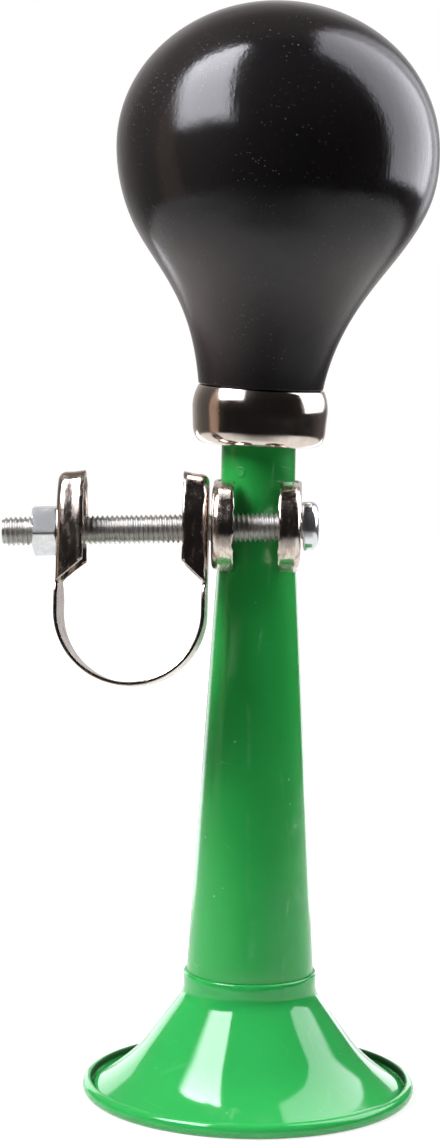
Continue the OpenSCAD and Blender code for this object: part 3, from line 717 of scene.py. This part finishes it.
class Ear:
    """Layout of a strap's flanged ear and the strip that follows it. Places are (along, across, depth): along
    the strip from the hole, across it, and inwards from its outer face. Corners are extra stations along the
    sides, and flare is the depth from which the flange leans outwards, and its slope."""

    BEND_STEPS, FLANGE_STEPS, RINGS, FOOT_STEPS, SIDE_STEPS, ARC_STEPS = 5, 4, 4, 10, 14, 40
    FLARE_EASE = 0.7

    def __init__(self, half_width, length, foot, bend_r, corners, depth_at, flare):
        self.bend_r, self.depth_at = bend_r, depth_at
        self.flare_from, self.flare_slope = flare
        self.inset = half_width - bend_r
        inset_length = length - bend_r
        evenly = {foot * i / self.SIDE_STEPS for i in range(self.SIDE_STEPS + 1)}
        sides = sorted(set(corners) | evenly)
        self.stations = [((s, -self.inset), (0.0, -1.0)) for s in sides[::-1]]
        for i in range(1, self.ARC_STEPS):
            a = math.pi * i / self.ARC_STEPS
            square = math.hypot(math.sin(a) / inset_length, math.cos(a) / self.inset)
            out = (-math.sin(a) / inset_length / square, -math.cos(a) / self.inset / square)
            self.stations.append(((-inset_length * math.sin(a), -self.inset * math.cos(a)), out))
        self.stations += [((s, self.inset), (0.0, 1.0)) for s in sides]

    def flare(self, deep):
        """How far the flange leans outwards at a depth. It is pressed a little short of square."""
        past = max(0.0, deep - self.flare_from)
        if past > self.FLARE_EASE:
            return self.flare_slope * (past - self.FLARE_EASE / 2)
        return self.flare_slope * past * past / (2 * self.FLARE_EASE)

    def flange(self, spot, out):
        """Places from the end of the flat plate, round the bend and to the flange's free edge."""
        depth = self.depth_at(*spot)
        quarter = self.bend_r * math.pi / 2
        if depth > self.bend_r:
            reach = quarter + depth - self.bend_r
        else:
            reach = self.bend_r * math.acos(1 - depth / self.bend_r)
        bend_steps, side_steps = self.BEND_STEPS, self.FLANGE_STEPS
        if reach > 1.3 * quarter:
            runs = [quarter * j / bend_steps for j in range(1, bend_steps + 1)]
            runs += [quarter + (reach - quarter) * j / side_steps for j in range(1, side_steps + 1)]
        else:
            steps = bend_steps + side_steps
            runs = [reach * j / steps for j in range(1, steps + 1)]
        places = []
        for run in runs:
            a = min(run, quarter) / self.bend_r
            deep = self.bend_r * (1 - math.cos(a)) + max(0.0, run - quarter)
            beside = self.bend_r * math.sin(a) + self.flare(deep)
            places.append((spot[0] + out[0] * beside, spot[1] + out[1] * beside, deep))
        return places

    def half_strap(self, strip_stations, half_strip):
        """Points and faces of the ear and the strip up to the strap's middle."""
        points, faces = [], []

        def lay(place):
            points.append(place)
            return len(points) - 1

        def strip(a, b):
            return [(a[j], b[j], b[j + 1], a[j + 1]) for j in range(len(a) - 1)]

        # The flat plate, ring by ring from the hole to the start of the bend
        foot = self.stations[0][0][0]
        chord = [(foot, self.inset * (1 - 2 * i / self.FOOT_STEPS)) for i in range(1, self.FOOT_STEPS)]
        loops = []
        for r in range(self.RINGS + 1):
            share = (r / self.RINGS) ** 1.4
            loop = []
            for s, q in [spot for spot, _ in self.stations] + chord:
                hole = (s / math.hypot(s, q) * HOLE_R, q / math.hypot(s, q) * HOLE_R)
                loop.append(lay((hole[0] + (s - hole[0]) * share, hole[1] + (q - hole[1]) * share, 0.0)))
            loops.append(loop)
        for a, b in zip(loops, loops[1:]):
            faces += band(a, b)
        # The bend and the flange, station by station round the ear
        edge = loops[-1]
        fringe = [[edge[k], *map(lay, self.flange(spot, out))] for k, (spot, out) in enumerate(self.stations)]
        for a, b in zip(fringe, fringe[1:]):
            faces += strip(a, b)
        # The strip, row by row, while it flattens and takes its own width
        row = fringe[0][::-1] + edge[:len(fringe) - 1:-1] + fringe[-1]
        first = [points[i] for i in row]
        widest = max(abs(p[1]) for p in first)
        for i, s in enumerate(strip_stations):
            ease = min(1.0, (i + 1) / 3)
            wide = 1 + (half_strip / widest - 1) * ease
            following = [lay((s, p[1] * wide, p[2] * (1 - ease))) for p in first]
            faces += strip(row, following)
            row = following
        return points, faces


def pressed_strap(name, ear_of_side, strip, route, place, finish):
    """A strap with an ear at each end. Route gives the point, the way across and the way in at a length."""
    points, faces = [], []
    for side in (-1, 1):
        half_points, half_faces = ear_of_side(side).half_strap(*strip)
        start = len(points)
        for s, q, deep in half_points:
            at, across, inward = route(side, s)
            points.append(place @ (at + across * q + inward * deep))
        for face in half_faces:
            turned_face = [start + i for i in face]
            faces.append(turned_face if side < 0 else turned_face[::-1])
    inner_side = place.to_3x3() @ route(-1, HOLE_R)[2]

    def join_halves(shape):
        bmesh.ops.remove_doubles(shape, verts=shape.verts, dist=1e-6)
        shape.faces.ensure_lookup_table()
        if shape.faces[0].normal.dot(inner_side) > 0:
            bmesh.ops.reverse_faces(shape, faces=shape.faces)

    strap = reshaped(new_piece(name, points, faces, finish), join_halves)
    thick = reshaped(strap, lambda shape: thicken(shape, STRAP_T * MM, EDGE_ROUND * MM))
    return faced_out(smoothed(thick))


def thicken(shape, depth, edge):
    """Gives an open sheet its thickness on its inner side, with its cut edges rounded off."""
    shape.normal_update()
    outer_faces, corners = list(shape.faces), list(shape.verts)
    place = {v: v.co.copy() for v in corners}
    normal = {v: v.normal.copy() for v in corners}
    border = [e for e in shape.edges if len(e.link_faces) == 1]
    away = {}
    runs = []
    for e in border:
        face = e.link_faces[0]
        side = (e.verts[1].co - e.verts[0].co).cross(face.normal).normalized()
        middle = (e.verts[0].co + e.verts[1].co) / 2
        if side.dot(middle - face.calc_center_median()) < 0:
            side = -side
        for v in e.verts:
            away[v] = away.get(v, Vector()) + side
        runs.append(e.verts[:])
    inner = {v: shape.verts.new(place[v] - normal[v] * depth) for v in corners}
    for face in outer_faces:
        shape.faces.new([inner[v] for v in face.verts][::-1])
    rim = {}
    for v, side in away.items():
        back = side.normalized() * edge
        v.co = place[v] - back
        inner[v].co -= back
        proud = [shape.verts.new(place[v] - normal[v] * deep) for deep in (edge, depth - edge)]
        rim[v] = [v, *proud, inner[v]]
    for a, b in runs:
        for k in range(3):
            shape.faces.new((rim[a][k], rim[b][k], rim[b][k + 1], rim[a][k + 1]))
    bmesh.ops.recalc_face_normals(shape, faces=shape.faces)


def ripple(seed, s, q, size, amount):
    """A smooth change of the flange's depth along its cut edge."""
    return amount * noise.noise(Vector((s / size, q / size, seed)))


def handlebar_strap(finish):
    """The loop for the handlebar, with an ear at each end. Past the ears it is a little pinched, and it is
    twisted, at the left more than at the right."""
    def ear(side):
        def depth(s, q):
            full = RIGHT_FLANGE if side > 0 else LEFT_FLANGE
            full += ripple(3.0 + side, s, q, 3.5, 0.30) + ripple(5.0, s, q, 0.9, 0.12)
            share = max(0.0, s - FLANGE_CORNER) / (EAR_FOOT - FLANGE_CORNER)
            return full + (0.25 - full) * min(1.0, share)

        flare = (1.7, 0.20) if side > 0 else (2.0, 0.16)
        corners = [FLANGE_CORNER, FLANGE_CORNER + 0.01]
        return Ear(half_width=EAR_W / 2 - 0.3, length=EAR_TOP, foot=EAR_FOOT, bend_r=1.4, corners=corners,
            depth_at=depth, flare=flare)

    def route(side, s):
        ease = min(1.0, max(0.0, (s - EAR_FOOT + 0.5) / 3))
        reach = LOOP_R - LOOP_PINCH * ease
        a = max(0.0, s - LOOP_DROP) / LOOP_R
        twist = math.radians(2.1 - 0.9 * side * math.cos(a)) * ease
        across = Vector((math.sin(twist), math.cos(twist), 0))
        way = Vector((side * math.cos(a), 0, -math.sin(a)))
        return Vector((0, 0, -min(s, LOOP_DROP))) + way * reach, across, -way

    quarter = LOOP_R * math.pi / 2
    straight = [9.3, 9.9, 10.6, 11.6, 12.7, LOOP_DROP]
    stations = straight + [LOOP_DROP + quarter * i / 24 for i in range(1, 25)]
    place = Matrix.Translation((-LOOP_X, -SCREW_Y, CLAMP_Z - LOOP_X * math.tan(math.radians(SCREW_TILT)))) \
        @ Matrix.Rotation(math.radians(-LOOP_SWING), 4, "X")
    return pressed_strap("Handlebar_strap", ear, (stations, LOOP_W / 2), route, place, finish)


def horn_strap(finish):
    """The band round the throat, with an ear at each end."""
    rear = SCREW_Y - 6.0

    def ear(side):
        def depth(s, q):
            full = HORN_FLANGE + ripple(9.0 + side, s, q, 2.4, 0.35) + ripple(7.0, s, q, 0.8, 0.22)
            return full + (0.5 - full) * min(1.0, max(0.0, (s - rear) / 0.5))

        return Ear(half_width=STRAP_H / 2, length=STRAP_H / 2, foot=rear + 0.5, bend_r=1.15, corners=[rear],
            depth_at=depth, flare=(2.0, 0.04))

    def route(side, s):
        if s <= SCREW_Y:
            return Vector((side * STRAP_R, s - SCREW_Y, 0)), Vector((0, 0, 1)), Vector((-side, 0, 0))
        a = (s - SCREW_Y) / STRAP_R
        way = Vector((side * math.cos(a), math.sin(a), 0))
        return way * STRAP_R, Vector((0, 0, 1)), -way

    quarter = STRAP_R * math.pi / 2
    stations = [4.5, 5.2, 6.0, 7.2, 8.4, SCREW_Y] + [SCREW_Y + quarter * i / 24 for i in range(1, 25)]
    place = Matrix.Translation((0, 0, CLAMP_Z))
    return pressed_strap("Horn_strap", ear, (stations, STRAP_H / 2 - 0.45), route, place, finish)


# Screw and nut

def on_screw(u):
    """Moves a piece made along Z to a place along the screw."""
    tilt = Matrix.Rotation(math.radians(90 - SCREW_TILT), 4, "Y")
    return Matrix.Translation((0, -SCREW_Y * MM, CLAMP_Z * MM)) @ tilt @ Matrix.Translation((0, 0, u * MM))


def screw_head(finish):
    """A pan head with a cross recess, its underside at height 0. The top is a grid that is close where the
    recess has walls."""
    half = [0.42, 0.50, 0.56, 0.72, 0.95, 1.25, 1.6, 1.95, 2.1, 2.2, 2.28, 2.4]
    lines = [-x for x in half[::-1]] + [0.0] + half
    n = len(lines)
    dome, arm_half, arm_reach = 0.12, 0.43, 2.11
    points = []
    for y in lines:
        for x in lines:
            near, far = sorted((abs(x), abs(y)))
            in_recess = near <= arm_half and far <= arm_reach
            proud = HEAD_H + dome * (1 - (x * x + y * y) / 14)
            points.append((x, y, HEAD_H - RECESS_DEPTH if in_recess else proud))
    faces = sheet(n, n)
    border = list(range(n)) + [j * n + n - 1 for j in range(1, n)]
    border += [(n - 1) * n + i for i in range(n - 2, -1, -1)] + [j * n for j in range(n - 2, 0, -1)]
    rings = [(HEAD_R - HEAD_ROUND + 0.15, HEAD_H)]
    rings += [(p.x, p.y) for p in arc((HEAD_R - HEAD_ROUND, HEAD_H - HEAD_ROUND), HEAD_ROUND, 84, 0, 10)]
    rings += [(HEAD_R, 0.9), (HEAD_R, 0.25), (HEAD_R - 0.08, 0.08), (HEAD_R - 0.25, 0.0), (3.0, 0.0),
        (1.5, 0.0)]
    previous = border
    count = len(border)
    for radius, height in rings:
        following = []
        for k in range(count):
            a = -3 * math.pi / 4 + 2 * math.pi * k / count
            following.append(len(points))
            points.append((radius * math.cos(a), radius * math.sin(a), height))
        for k in range(count):
            m = (k + 1) % count
            faces.append((previous[k], following[k], following[m], previous[m]))
        previous = following
    faces.append(previous)
    return faced_out(new_piece("Screw_head", points, faces, finish))


def clamp_screw(finish):
    """The screw, whose rod reaches 0.4 mm into its head."""
    rod = grown(new_piece("Screw_rod", [(0, 0, 0)], [], finish), THREAD, Length=SCREW_L * MM,
        Radius=THREAD_R * MM, Depth=THREAD_DEPTH * MM, Pitch=PITCH * MM, Finish=finish)
    rod.data.transform(on_screw(HEAD_U - SCREW_L / 2 + 0.4))
    head = screw_head(finish)
    head.data.transform(Matrix.Rotation(math.radians(RECESS_TURN), 4, "Z"))
    head.data.transform(on_screw(HEAD_U))
    return joined("Clamp_screw", finish, rod, head)


def clamp_nut(finish):
    """A hexagon nut with both faces chamfered round, a threaded bore and countersinks."""
    steps, grooves = 144, 40
    half, sunk, groove_depth = NUT_AF / 2, 0.45, 0.14
    corner_r = half / math.cos(math.pi / 6) - 0.10

    def across(turn):
        beside = (turn % (math.pi / 3)) - math.pi / 6
        return min(half / math.cos(beside), corner_r)

    def chamfer(height):
        return half - 0.05 + min(height, NUT_T - height) * 2.0

    rows = [0.0, 0.06, 0.14, 0.22, 0.3, 0.38, 0.5, 0.8, 2.0]
    rows += [NUT_T - h for h in rows[-2::-1]]
    countersink = [(NUT_BORE_R, sunk), (NUT_BORE_R + 0.42, 0.0)]
    points, faces, rings = [], [], []

    def ring(radius_at, height):
        rings.append([len(points) + k for k in range(steps)])
        for k in range(steps):
            turn = 2 * math.pi * k / steps
            r = radius_at(turn)
            points.append((r * math.cos(turn), r * math.sin(turn), height))

    for radius, height in countersink:
        ring(lambda turn: radius, height)
    ring(lambda turn: (NUT_BORE_R + half) / 2, 0.0)
    for height in rows:
        ring(lambda turn: min(across(turn), chamfer(height)), height)
    ring(lambda turn: (NUT_BORE_R + half) / 2, NUT_T)
    for radius, height in countersink[::-1]:
        ring(lambda turn: radius, NUT_T - height)
    for j in range(1, grooves):
        height = NUT_T - sunk - (NUT_T - 2 * sunk) * j / grooves
        cut, turns = groove_depth * min(1.0, j / 4, (grooves - j) / 4), height / PITCH
        ring(lambda turn: NUT_BORE_R + cut * abs(((turns - turn / (2 * math.pi)) % 1.0) * 2 - 1), height)
    for a, b in zip(rings, rings[1:] + rings[:1]):
        faces += band(a, b)
    nut = smoothed(faced_out(new_piece("Clamp_nut", points, faces, finish)))
    nut.data.transform(on_screw(NUT_U - NUT_T) @ Matrix.Rotation(math.radians(NUT_TURN), 4, "Z"))
    return sharpened(nut, 28)


def sharpened(piece, angle):
    """Marks edges that turn more than the angle as sharp, so that flat faces are shaded flat."""
    def mark(shape):
        for edge in shape.edges:
            if len(edge.link_faces) == 2 and edge.calc_face_angle() > math.radians(angle):
                edge.smooth = False

    return reshaped(piece, mark)


# Studio

def glow(name, light_given, seen, soft, soft_left, low, high):
    """A lamp's face that fades over a soft border. Mirror pictures show it at its seen strength."""
    material = bpy.data.materials.new(name)
    g = emptied(material)
    across, up, _ = g.parts(g.add("ShaderNodeTexCoord", out="UV"))
    sides = g.times(g.ramp(across, 0.0, soft_left), g.ramp(across, 1.0 - soft, 1.0, 1.0, 0.0))
    ends = g.times(g.ramp(g.math("PINGPONG", up, 0.5), 0.0, soft),
        g.ramp(up, 0.0, 1.0, low, high, "LINEAR"))
    fade = g.times(sides, ends)
    mirrored = g.add("ShaderNodeLightPath", out="Is Glossy Ray")
    strength = g.ramp(mirrored, 0.0, 1.0, light_given, seen, "LINEAR")
    tone = g.mix(mirrored, (1, 1, 1, 1), (0.97, 0.97, 1.05, 1))
    light = g.add("ShaderNodeEmission", {"Color": tone, "Strength": g.times(fade, strength)})
    clear = g.add("ShaderNodeAddShader", {0: light, 1: g.add("ShaderNodeBsdfTransparent")})
    g.end("ShaderNodeOutputMaterial", clear)
    return material


def softbox(name, corners, light_given, seen, soft=0.06, soft_left=0.06, low=1.0, high=1.0, steps=8):
    """A lamp's face between four corners, from its lower left round to its upper left."""
    points, spots = [], []
    a, b, c, d = (Vector(p) for p in corners)
    for j in range(steps + 1):
        v = j / steps
        for i in range(steps + 1):
            u = i / steps
            points.append(a.lerp(b, u).lerp(d.lerp(c, u), v))
            spots.append((u, v))
    finish = glow(name + " glow", light_given, seen, soft, soft_left, low, high)
    box = new_piece(name, points, sheet(steps + 1, steps + 1), finish)
    layer = box.data.uv_layers.new(name="UVMap")
    for loop in box.data.loops:
        layer.data[loop.index].uv = spots[loop.vertex_index]
    box.visible_camera = False
    box.visible_shadow = False


def studio_world():
    """White for the camera. Mirror pictures show a room that is dark in front and pale behind, and all else
    gets an even fill. The bands are the room's colours by the angle round it, with 0 towards the camera."""
    world = bpy.data.worlds.new("Studio")
    bpy.context.scene.world = world
    g = emptied(world)
    x, y, z = g.parts(g.add("ShaderNodeTexCoord", out="Generated"))
    turn = g.math("ARCTAN2", x, g.times(y, -1.0))
    around = g.add("ShaderNodeValToRGB", {0: g.plus(g.over(turn, 2 * math.pi), 0.5)})
    stops = around.node.color_ramp.elements
    bands = [(-180, (0.72, 0.69, 0.69)), (-166, (0.6, 0.57, 0.57)), (-154, (0.50, 0.48, 0.47)),
        (-140, (0.34, 0.32, 0.31)), (-128, (0.19, 0.175, 0.165)), (-112, (0.12, 0.11, 0.11)),
        (-96, (0.10, 0.09, 0.09)), (-93, (0.50, 0.36, 0.29)), (-78, (0.46, 0.33, 0.26)),
        (-74, (0.04, 0.034, 0.032)), (-60, (0.012, 0.011, 0.012)), (100, (0.012, 0.011, 0.012)),
        (126, (0.08, 0.075, 0.075)), (152, (0.14, 0.13, 0.13)), (164, (0.60, 0.58, 0.58)),
        (180, (0.72, 0.69, 0.69))]
    stops[0].position, stops[0].color = 0.0, (*bands[0][1], 1)
    stops[1].position, stops[1].color = 1.0, (*bands[-1][1], 1)
    for angle, colour in bands[1:-1]:
        stop = stops.new(angle / 360 + 0.5)
        stop.color = (*colour, 1)
    above = g.mix(g.ramp(y, 0.0, 0.35), (0.02, 0.02, 0.022, 1), (0.20, 0.17, 0.16, 1))
    room = g.mix(g.ramp(z, 0.35, 0.8), around, above)
    path = g.add("ShaderNodeLightPath").node.outputs
    seen = g.mix(path["Is Glossy Ray"], (0.05, 0.05, 0.055, 1), room)
    shown = g.mix(path["Is Camera Ray"], seen, (1, 1, 1, 1))
    g.end("ShaderNodeOutputWorld", g.add("ShaderNodeBackground", {"Color": shown, "Strength": 1.0}))


def studio_floor():
    """A white table top that ends in front of the horn and takes its shadow. Mirror pictures show it dimmer,
    and not at all far from the horn."""
    points = [(-950.0, -380.0, 0.0), (950.0, -380.0, 0.0), (950.0, 950.0, 0.0), (-950.0, 950.0, 0.0)]
    material = bpy.data.materials.new("Table top")
    g = emptied(material)
    path = g.add("ShaderNodeLightPath").node.outputs
    direct = g.math("MAXIMUM", path["Is Camera Ray"], path["Is Glossy Ray"])
    place = g.add("ShaderNodeTexCoord", out="Object")
    x, y, _ = g.parts(place)
    reach = g.vector("LENGTH", place, out=1)
    beside = g.ramp(g.math("ABSOLUTE", x), 0.03, 0.13, 0.35, 1.0)
    beside = g.math("MAXIMUM", beside, g.ramp(y, -0.16, -0.07))
    dimmed = g.times(g.ramp(y, -0.33, -0.08, 0.0, 0.85), beside)
    strength = g.mix(path["Is Glossy Ray"], g.ramp(reach, 0.06, 0.25, 0.8, 1.0), dimmed)
    own = g.add("ShaderNodeEmission", {"Color": (1, 1, 1, 1), "Strength": strength})
    lit = g.add("ShaderNodeBsdfDiffuse", {"Color": (0.30, 0.30, 0.30, 1)})
    bounce = g.add("ShaderNodeBsdfDiffuse", {"Color": (0.75, 0.75, 0.75, 1)})
    both = g.add("ShaderNodeAddShader", {0: own, 1: lit})
    chosen = g.add("ShaderNodeMixShader", {0: direct, 1: bounce, 2: both})
    beyond = g.times(path["Is Glossy Ray"], g.ramp(reach, 0.30, 0.42))
    clear = g.add("ShaderNodeBsdfTransparent")
    g.end("ShaderNodeOutputMaterial", g.add("ShaderNodeMixShader", {0: beyond, 1: chosen, 2: clear}))
    new_piece("Table", points, [(0, 1, 2, 3)], material)


# Assembly

place_camera()
studio_world()
studio_floor()
softbox("Left_softbox", [(-240, -62, 185), (-120, -222, 222), (-212, 33, 1093), (-407, 73, 527)],
    light_given=14.4, seen=15.8, soft_left=0.28, low=0.85, high=1.35)
softbox("Right_softbox", [(259, -40, 98), (171, 171, 104), (115, 163, 600), (153, -34, 610)],
    light_given=3.7, seen=5.0, soft=0.04, low=1.02, high=0.75)
softbox("Right_wing", [(114, 98, 108), (83, 123, 108), (79, 119, 420), (91, 108, 450)],
    light_given=0.0, seen=1.5, soft=0.08, soft_left=0.2)
softbox("Rear_left_card", [(-131, 130, 0), (-58, 130, 0), (-58, 130, 84), (-131, 130, 84)],
    light_given=0.0, seen=2.2)
softbox("Rear_right_card", [(44, 130, 0), (80, 130, 0), (80, 130, 84), (44, 130, 84)],
    light_given=0.0, seen=2.4)

TURNED, THREAD = turned_tree(), thread_tree()
LEAN, TILT = 0.00247, 0.048
EASED_TILT = {"Tilt": TILT, "Tilt_rise": 0.020, "Tilt_foot": 0.1195}

rubber = rubber_finish()
ferrule_nickel = nickel_finish("Ferrule nickel", dull=0.10, wave=0.6, spots=0.01, worn_share=0.12)
strap_nickel = nickel_finish("Strap nickel", dull=0.11, wave=1.3, spots=0.0, worn_share=0.8)
# The cone is painted paler towards its foot, as painted light from the table
tube_green = green_finish("Cone plastic", deep=(0.018, 0.345, 0.056, 1), light=(0.027, 0.41, 0.075, 1),
    gloss=0.17, wave=0.4, painted_light_below=0.22, groove=NO_GROOVE_SHADE)
# The bell gets painted shade in the groove inside its rolled rim
bell_green = green_finish("Bell plastic", deep=(0.030, 0.45, 0.095, 1), light=(0.040, 0.52, 0.115, 1),
    gloss=0.05, wave=0.3, painted_light_below=0.0, groove=(0.0267, 0.02708))
screw_zinc = zinc_finish("Screw zinc", dull=0.28, light=(0.54, 0.53, 0.51, 1), dark=(0.35, 0.34, 0.33, 1),
    bright_from=0.0070)
nut_zinc = zinc_finish("Nut zinc", dull=0.185, light=(0.84, 0.85, 0.86, 1), dark=(0.58, 0.62, 0.66, 1))

bulb = turned("Bulb", bulb_outline(), rubber, 144, 2.0, Lean=LEAN, Lean_from=0.1145, Lean_to=0.1550,
    Lean_back=0.0003, Lean_end=0.1847, Unevenness=0.00016, Patch_size=0.022, Tilt=TILT)
ferrule = turned("Neck_ferrule", ferrule_outline(), ferrule_nickel, 160, 1.0, Lean=LEAN, Lean_from=0.112,
    Lean_to=0.152, Unevenness=0.00002, Patch_size=0.006, **EASED_TILT)
tube = turned("Tube_wall", tube_outline(), tube_green, 128, 3.0, Unevenness=0.00002, Patch_size=0.02,
    **EASED_TILT)
tube = joined("Horn_tube", tube_green, tube, gate_mark(tube_green))
bell = turned("Bell", bell_outline(), bell_green, 160, 2.0, Unevenness=0.00002, Patch_size=0.03)
horn_band = horn_strap(strap_nickel)
bar_band = handlebar_strap(strap_nickel)
screw = clamp_screw(screw_zinc)
nut = clamp_nut(nut_zinc)

for piece, body, node, slot in (
        (ferrule, "horn", "neck_ferrule", "ferrule_nickel"),
        (tube, "horn", "horn_tube", "cone_plastic"),
        (bell, "horn", "bell_flare", "bell_plastic"),
        (horn_band, "horn_clamp", "horn_strap", "strap_nickel"),
        (bar_band, "bar_clamp", "handlebar_strap", "strap_nickel"),
        (screw, "screw", "clamp_screw", "screw_zinc"),
        (nut, "nut", "clamp_nut", "nut_zinc")):
    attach(piece, body)
    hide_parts(node)
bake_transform(bulb)
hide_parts("bulb")

reed_brass, sleeve_rubber = brass_finish(), sleeve_finish()
for node, finish in (("reed_shallot", reed_brass), ("reed_tongue", reed_brass), ("reed_wedge", reed_brass),
        ("reed_collar", reed_brass), ("reed_sleeve", sleeve_rubber)):
    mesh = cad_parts[node].data
    mesh.materials.clear()
    mesh.materials.append(finish)

bpy.context.scene.view_settings.view_transform = "Standard"
